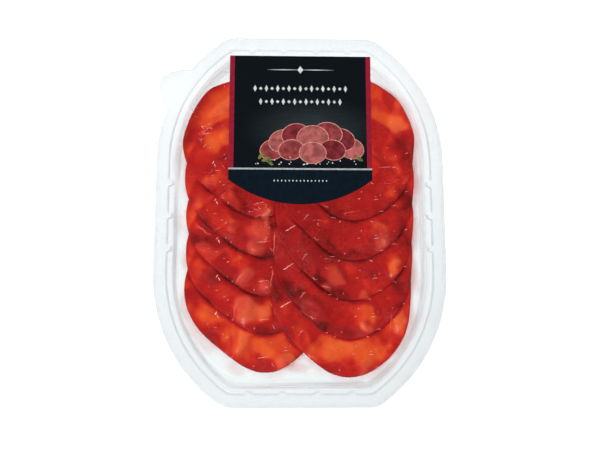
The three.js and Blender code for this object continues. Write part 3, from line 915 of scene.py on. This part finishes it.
trayLook = {
    "body": ((0.57, 0.61, 0.62), (0.73, 0.77, 0.78)),  # the plastic's haze at the far end and at the label's, lighter there as painted light
    "bodyRun": (-110, 110),  # mm, where those two are reached
    "wellBody": (0.53, 0.56, 0.56),
    "meatReflection": (0.50, 0.30, 0.285),  # a painted reflection of the meat, where the plastic is near it
    "meatReflectionHaze": 0.1,
    "meatReflectionReach": 3.0,  # mm
    "meatReflectionSpots": [  # mm on the pack: x, y, half length, half width, turn, strength
        (77.5, 23.5, 8.5, 2.2, 88, 0.8), (76.8, -2, 4.5, 2, 90, 0.5), (74.6, -34.5, 9.5, 2.4, 90, 0.5),
        (51.4, -98, 9, 3.2, 35, 0.5), (65, -78, 6, 3, 60, 0.4), (-41, -97, 5.5, 3, -25, 0.5),
        (-2, -95.5, 7, 3.2, 0, 0.7), (-80.4, 36, 9, 2.4, 90, 0.35), (-78.7, -3, 7, 2.6, 90, 0.45),
        (-73.5, -56.4, 5, 3, -70, 0.45), (-69.3, -72, 5, 3, -60, 0.4),
    ],
    "streaks": 0.05,  # how much the painted streaks on the wall, dark lines standing in for light bent by the plastic, add to the haze
    "haze": (0.345, 0.295),  # share of it at each face, in the well and on the flange
    "wellRise": (5, 12.5),  # mm of height over which the well becomes the flange
    "flangeRise": (11.0, 12.3),  # where the wall ends and the steps begin
    "edgeHaze": 0.12,  # more of it on the steep steps round the flange, for the painted lines there
    # painted dark lines on the steps and the wall, standing in for light bent by the plastic
    "refractionShade": (0.36, 0.40, 0.42),
    "faintEnd": (45, 95, 0.35),  # mm, where the steps' lines fade towards the label's end, and what is left
    "clear": (0.985, 0.992, 0.995),
    "gloss": 0.045,
    "roughness": 0.07,
    "grazingGloss": 0.5,
    "edgeRadius": 0.45,
    "edgeAngle": 28,  # degrees, from which an edge is rounded
    "smoothAngle": 50,
    "footRadius": 3.2,  # mm, where the wall runs out into the floor
    "footHeights": (0.0, 0.8),  # mm, the edges rounded that wide
    "looseRing": 1.7,  # mm, a ring of edges that is in the way of them
}
meatColumns = {"x": (-28, 30), "halfRun": 49.5, "radius": 47}  # mm, the two columns as long round-ended fields
filmLook = {"tint": (0.02, 0.022, 0.024), "alpha": 0.025, "roughness": 0.05, "smoothAngle": 30}


def toMeat(place):  # metres from the nearer column of slices
    split = addNode(place, "SeparateXYZ", {0: place})
    run = meatColumns["halfRun"] * mm
    beyond = larger(minus(math2("ABSOLUTE", split.outputs["Y"]), run), 0.0)
    nearest = None
    for x in meatColumns["x"]:
        across = minus(split.outputs["X"], x * mm)
        reach = lengthOf(addNode(place, "CombineXYZ", {"X": across, "Y": beyond}).outputs[0])
        nearest = math2("MINIMUM", nearest, reach) if nearest else reach
    return minus(nearest, meatColumns["radius"] * mm)


def clearPlastic():
    look = trayLook
    material, tree = newMaterial("clearTrayPlastic")
    place = addNode(tree, "TexCoord").outputs["Object"]
    ripple = noise(place, 38, 1, 0.4)
    bump = addNode(tree, "Bump", {"Height": ripple, "Strength": 0.06, "Distance": 0.4 * mm}).outputs[0]
    # painted reflection of the meat, near it and at listed spots
    meatReflection = ranged(toMeat(place), look["meatReflectionReach"] * mm, 0.0)
    meatReflection = times(meatReflection, ranged(noise(place, 42, 1), 0.44, 0.6, 0.0, 0.5))
    flat = vectorMath("MULTIPLY", place, (1, 1, 0))
    for spot in look["meatReflectionSpots"]:
        meatReflection = larger(meatReflection, spotMask(flat, spot))
    split = addNode(tree, "SeparateXYZ", {0: place})
    height, along = split.outputs["Z"], split.outputs["Y"]
    fadeFrom, fadeTo, left = look["faintEnd"]
    faint = ranged(along, fadeFrom * mm, fadeTo * mm, 1.0, left)
    runFrom, runTo = look["bodyRun"]
    wellFrom, wellTo = [rise * mm for rise in look["wellRise"]]

    # colour of the haze: lighter towards the label's end as painted light, a painted reflection near the meat, and
    # painted dark lines on the steps round the flange and on the wall
    tone = mixColour(ranged(along, runFrom * mm, runTo * mm), *look["body"])
    tone = mixColour(ranged(height, wellFrom, wellTo), look["wellBody"], tone)
    tone = mixColour(meatReflection, tone, look["meatReflection"])
    clear = addNode(tree, "BsdfTransparent", {"Color": (*look["clear"], 1)})
    upward = addNode(tree, "SeparateXYZ", {0: addNode(tree, "NewGeometry").outputs["Normal"]}).outputs["Z"]
    raised = ranged(height, *[rise * mm for rise in look["flangeRise"]])
    # painted dark lines on the steep steps round the flange
    steep = times(ranged(math2("ABSOLUTE", upward), 0.96, 0.5), raised)
    steep = times(steep, faint)
    tone = mixColour(steep, tone, look["refractionShade"])
    # painted streaks on the wall, standing in for light bent by the plastic
    wall = ranged(math2("ABSOLUTE", upward), 0.93, 0.7)
    wall = times(wall, minus(1.0, raised))
    wall = times(wall, faint)
    wallStreakPlace = addNode(tree, "Mapping", {"Vector": place, "Scale": (20, 20, 380)}).outputs[0]
    streak = times(wall, ranged(noise(wallStreakPlace, 1.0, 1), 0.4, 0.6, -1.0, 1.0))
    tone = mixColour(larger(streak, 0.0), tone, look["refractionShade"])
    front = addNode(tree, "BsdfDiffuse", {"Color": tone, "Normal": bump})
    through = addNode(tree, "BsdfTranslucent", {"Color": tone, "Normal": bump})
    body = addNode(tree, "MixShader", {0: 0.45, 1: front.outputs[0], 2: through.outputs[0]})

    # how much haze, and the gloss over it
    haze = ranged(height, wellFrom, wellTo, *look["haze"])
    for amount, share in ((steep, "edgeHaze"), (meatReflection, "meatReflectionHaze"), (streak, "streaks")):
        haze = plus(haze, times(amount, look[share]))
    milky = addNode(tree, "MixShader", {0: haze, 1: clear.outputs[0], 2: body.outputs[0]})
    gloss = addNode(tree, "BsdfGlossy", {"Roughness": look["roughness"], "Normal": bump})
    facing = addNode(tree, "LayerWeight", {"Blend": 0.5, "Normal": bump}).outputs["Facing"]
    shine = math2("MULTIPLY_ADD", math2("POWER", facing, 4.0), look["grazingGloss"])
    shine.node.inputs[2].default_value = look["gloss"]
    return finished(material, addNode(tree, "MixShader", {0: shine, 1: milky.outputs[0], 2: gloss.outputs[0]}))


def filmMaterial():
    material, tree = newMaterial("clearLidFilm")
    place = addNode(tree, "TexCoord").outputs["Object"]
    ripple = noise(place, 14, 2, 0.4)
    bump = addNode(tree, "Bump", {"Height": ripple, "Strength": 0.15, "Distance": 1.5 * mm})
    shader = addNode(tree, "BsdfPrincipled", {
        "Base Color": (*filmLook["tint"], 1),
        "Roughness": filmLook["roughness"],
        "Alpha": filmLook["alpha"],
        "Normal": bump.outputs[0],
    })
    return finished(material, shader)


def roundFoot(tray):  # the wall runs out into the floor in a wide curve, inside and outside
    bm = bmesh.new()
    bm.from_mesh(tray.data)
    bmesh.ops.dissolve_limit(bm, angle_limit=math.radians(0.5), verts=bm.verts, edges=bm.edges)
    atHeight = lambda edge, height: all(abs(vertex.co.z - height * mm) < 0.02 * mm for vertex in edge.verts)
    ring = [edge for edge in bm.edges if atHeight(edge, trayLook["looseRing"])]
    bmesh.ops.dissolve_edges(bm, edges=ring, use_verts=True)
    foot = [edge for edge in bm.edges if any(atHeight(edge, height) for height in trayLook["footHeights"])]
    bmesh.ops.bevel(
        bm, geom=foot, offset=trayLook["footRadius"] * mm, offset_type="OFFSET", segments=6, profile=0.5,
        affect="EDGES", material=-1, clamp_overlap=True,
    )
    bmesh.ops.recalc_face_normals(bm, faces=bm.faces)
    bm.to_mesh(tray.data)
    bm.free()


def makeTray():
    tray = mergedCopy("tray", "formedTray")
    roundFoot(tray)
    roundEdges(tray, trayLook["edgeRadius"], 2, trayLook["edgeAngle"])
    smoothByAngle(tray, trayLook["smoothAngle"])
    coat(tray, clearPlastic())
    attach(tray, "root")
    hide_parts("tray")
    tray.visible_shadow = False  # lamps shine through it
    film = mergedCopy("lid_film", "lidFilm")
    smoothByAngle(film, filmLook["smoothAngle"])
    coat(film, filmMaterial())
    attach(film, "root")
    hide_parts("lid_film")
    film.visible_shadow = False
    print("tray and film made")


# Label

labelLook = {  # mm and linear colours
    "paper": 0.2,  # thickness under the print
    "ink": 0.02,
    "inkLift": 0.003,  # between the paper and the lowest print
    "field": (0.0045, 0.0065, 0.0085),
    "glow": (0.030, 0.040, 0.043),
    "glowCentre": (8, 56),
    "glowReach": (50, 26),
    "panel": (0.0045, 0.010, 0.017),
    "panelTop": 30.8,
    "stripe": (0.30, 0.0140, 0.034),
    "stripeWidth": 3.2,
    "rule": (0.42, 0.44, 0.45),
    "ruleHeight": 1.1,
    "pale": (0.66, 0.68, 0.68),
    "shine": 0.06,
    "roughness": 0.42,
    "smoothAngle": 30,
}
labelMarks = {  # mm: the rules, the diamond and the lozenges
    "topHeight": 97.5,
    "ruleMiddle": 10.5,
    "ruleHalf": (8.5, 0.22),
    "diamond": (1.9, 2.6),
    "chains": ((84.5, 17), (75.5, 15)),  # height and number of lozenges
    "chainPitch": 3.7,
    "lozenge": (1.15, (2.3, 1.2)),  # half width, and the two half heights that take turns
    "row": (22.4, 15, 2.4, (0.5, 0.7)),  # the fine row in the panel: height, number, pitch, half sizes
}
labelFan = {  # round slices of the picture, mm: x, y, radius, turn, tone
    "slices": [
        (-18, 43, 8.5, 20, 0), (33, 44, 8.5, -20, 1), (-12, 49, 9, 25, 1), (27, 50, 9, -25, 2),
        (-3, 53, 9.5, 10, 2), (18, 54, 9.5, -10, 0), (8, 51, 10.5, 0, 1), (-6, 43, 8.5, 12, 0),
        (21, 43, 8.5, -12, 2), (8, 41, 9, 0, 1),
    ],
    "tones": [(0.34, 0.060, 0.062), (0.47, 0.125, 0.115), (0.22, 0.028, 0.036)],
    "rim": (0.66, 0.33, 0.29),
    "leaves": [(-22, 36.5, 3.2, 20), (-25.5, 38.8, 2.8, 55), (-19.5, 34.2, 2.6, -35), (38, 37.2, 2.8, 150)],
    "leafTone": (0.17, 0.20, 0.05),
    "squash": 0.82,  # height of a slice as a share of its width
    "leafSquash": 0.42,
    "grains": 26,
    "grainSeed": 4,
}


def labelPart(keep):  # what is left of the label's sheet inside the planes of keep
    bm = bmesh.new()
    bm.from_mesh(nodes["label"].data)
    bmesh.ops.remove_doubles(bm, verts=bm.verts, dist=0.001 * mm)
    for place, outward in keep:
        everything = [*bm.verts, *bm.edges, *bm.faces]
        cut = bmesh.ops.bisect_plane(
            bm, geom=everything, plane_co=[c * mm for c in place], plane_no=outward, clear_outer=True,
            dist=0.0001 * mm,
        )
        rim = [edge for edge in cut["geom_cut"] if isinstance(edge, bmesh.types.BMEdge)]
        bmesh.ops.contextual_create(bm, geom=rim)
    return bm


def printHeight(level):  # metres, of print that lies level mm above the lowest
    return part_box("label")[0].z + (labelLook["paper"] + labelLook["inkLift"] + level) * mm


def layOnPaper(bm, level):  # flattens a part so that it lies on the paper like ink
    middle = (min(v.co.z for v in bm.verts) + max(v.co.z for v in bm.verts)) / 2
    bottom = printHeight(level)
    for vertex in bm.verts:
        vertex.co.z = bottom + (vertex.co.z > middle) * labelLook["ink"] * mm


def inkPiece(name, bm, material):
    bmesh.ops.recalc_face_normals(bm, faces=bm.faces)
    piece = meshObject(name, bm)
    coat(piece, material)
    piece.visible_shadow = False
    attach(piece, "root")


def diskPart(bm, x, y, radiusX, radiusY, turn, level, thickness, segments):
    place = Matrix.Translation((x * mm, y * mm, 0)) @ Matrix.Rotation(math.radians(turn), 4, "Z")
    shape = place @ Matrix.Diagonal((radiusX * mm, radiusY * mm, 1, 1))
    made = bmesh.ops.create_circle(bm, cap_ends=True, segments=segments, radius=1, matrix=shape)["verts"]
    faces = list({face for vertex in made for face in vertex.link_faces})
    raised = bmesh.ops.extrude_face_region(bm, geom=faces)["geom"]
    raised = [v for v in raised if isinstance(v, bmesh.types.BMVert)]
    low = printHeight(level)
    for vertex in made:
        vertex.co.z = low
    for vertex in raised:
        vertex.co.z = low + thickness * mm


def printed(material, tone):
    shader = addNode(material.node_tree, "BsdfPrincipled", {
        "Base Color": tone,
        "Roughness": labelLook["roughness"],
        "Specular IOR Level": labelLook["shine"],
    })
    return finished(material, shader)


def printMaterial(name, colour, second=None, scale=300.0):
    material, tree = newMaterial(name)
    place = addNode(tree, "TexCoord").outputs["Object"]
    cloud = noise(place, scale, 3, 0.6)
    second = second or [c * 0.8 for c in colour]
    return printed(material, mixColour(ranged(cloud, 0.35, 0.65), colour, second))


def fieldMaterial():
    material, tree = newMaterial("labelField")
    place = addNode(tree, "TexCoord").outputs["Object"]
    x, y = labelLook["glowCentre"]
    wide, tall = labelLook["glowReach"]
    reach = ovalReach(place, x * mm, y * mm, 0, wide * mm, tall * mm)
    brushed = addNode(tree, "Mapping", {"Vector": place, "Scale": (60, 700, 1)}).outputs[0]
    streaks = noise(brushed, 1.0, 3, 0.6)
    glow = times(ranged(reach, 1.0, 0.0), ranged(streaks, 0.2, 0.8, 0.55, 1.0))
    return printed(material, mixColour(glow, labelLook["field"], labelLook["glow"]))


def makeLabelFields():
    look = labelLook
    low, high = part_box("label")
    top, foot = (0, look["panelTop"], 0), (0, look["panelTop"] - look["ruleHeight"], 0)
    left, right = (low.x / mm + look["stripeWidth"], 0, 0), (high.x / mm - look["stripeWidth"], 0, 0)
    up, down = (0, 1, 0), (0, -1, 0)
    inks = (("labelNavy", "panel"), ("labelSilver", "rule"), ("labelCrimson", "stripe"))
    navy, silver, crimson = [printMaterial(name, look[key]) for name, key in inks]
    for name, level, material, *keep in (
        ("labelPanel", 0, navy, (foot, up)),
        ("labelRule", 0.001, silver, (top, up), (foot, down)),
        ("labelStripeLeft", 0, crimson, (left, (1, 0, 0)), (top, down)),
        ("labelStripeRight", 0, crimson, (right, (-1, 0, 0)), (top, down)),
    ):
        part = labelPart(keep)
        layOnPaper(part, level)
        inkPiece(name, part, material)


def makeLabelOrnament():
    marks, thick = labelMarks, labelLook["ink"]
    bm = bmesh.new()
    top, (ruleLength, ruleWidth) = marks["topHeight"], marks["ruleHalf"]
    for side in (-1, 1):  # short rules and a diamond at the top
        diskPart(bm, side * marks["ruleMiddle"], top, ruleLength * 1.414, ruleWidth * 1.414, 0, 0, thick, 4)
    diskPart(bm, 0, top, *marks["diamond"], 0, 0, thick, 4)
    wide, heights = marks["lozenge"]
    for y, count in marks["chains"]:
        for n in range(count):
            diskPart(bm, (n - (count - 1) / 2) * marks["chainPitch"], y, wide, heights[n % 2], 0, 0, thick, 4)
    y, count, pitch, sizes = marks["row"]
    for n in range(count):
        diskPart(bm, (n - count // 2) * pitch, y, *sizes, 0, thick + 0.001, thick, 4)
    inkPiece("labelOrnament", bm, printMaterial("labelPale", labelLook["pale"]))


def makeLabelPicture():
    look = labelFan
    slices, rims = [bmesh.new() for _ in look["tones"]], bmesh.new()
    for n, (x, y, radius, turn, tone) in enumerate(look["slices"]):
        tall = radius * look["squash"]
        diskPart(rims, x, y, radius, tall, turn, 0.008 * n, 0.004, 40)
        diskPart(slices[tone], x, y, radius - 0.55, tall - 0.5, turn, 0.008 * n + 0.002, 0.006, 40)
    inkPiece("labelSliceRims", rims, printMaterial("labelFat", look["rim"], look["tones"][1], 500))
    for n, (bm, tone) in enumerate(zip(slices, look["tones"])):
        inkPiece(f"labelSlices{n}", bm, printMaterial(f"labelMeat{n}", tone, [c * 0.5 for c in tone], 230))
    leaves = bmesh.new()
    for x, y, length, turn in look["leaves"]:
        diskPart(leaves, x, y, length, length * look["leafSquash"], turn, 0.075, 0.01, 12)
    green = look["leafTone"]
    inkPiece("labelLeaves", leaves, printMaterial("labelGreen", green, [c * 0.4 for c in green], 400))
    rng = np.random.default_rng(look["grainSeed"])
    grains = bmesh.new()
    for _ in range(look["grains"]):
        x, y = rng.uniform(-34, 40), 33.2 + abs(rng.normal(0, 2.4))
        diskPart(grains, x, min(y, 40), *rng.uniform(0.25, 0.6, 2), rng.uniform(0, 180), 0.06, 0.01, 6)
    inkPiece("labelGrains", grains, printMaterial("labelSalt", labelLook["pale"]))


def makeLabel():
    low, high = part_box("label")
    paper = mergedCopy("label", "labelPaper")
    for vertex in paper.data.vertices:
        if vertex.co.z > (low.z + high.z) / 2:
            vertex.co.z = low.z + labelLook["paper"] * mm
    smoothByAngle(paper, labelLook["smoothAngle"])
    coat(paper, fieldMaterial())
    paper.visible_shadow = False
    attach(paper, "root")
    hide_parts("label")
    makeLabelFields()
    makeLabelOrnament()
    makeLabelPicture()
    print("label made")


makeCamera()
makeFloor()
makeLights()
makeTray()
makeSlices()
makeLabel()
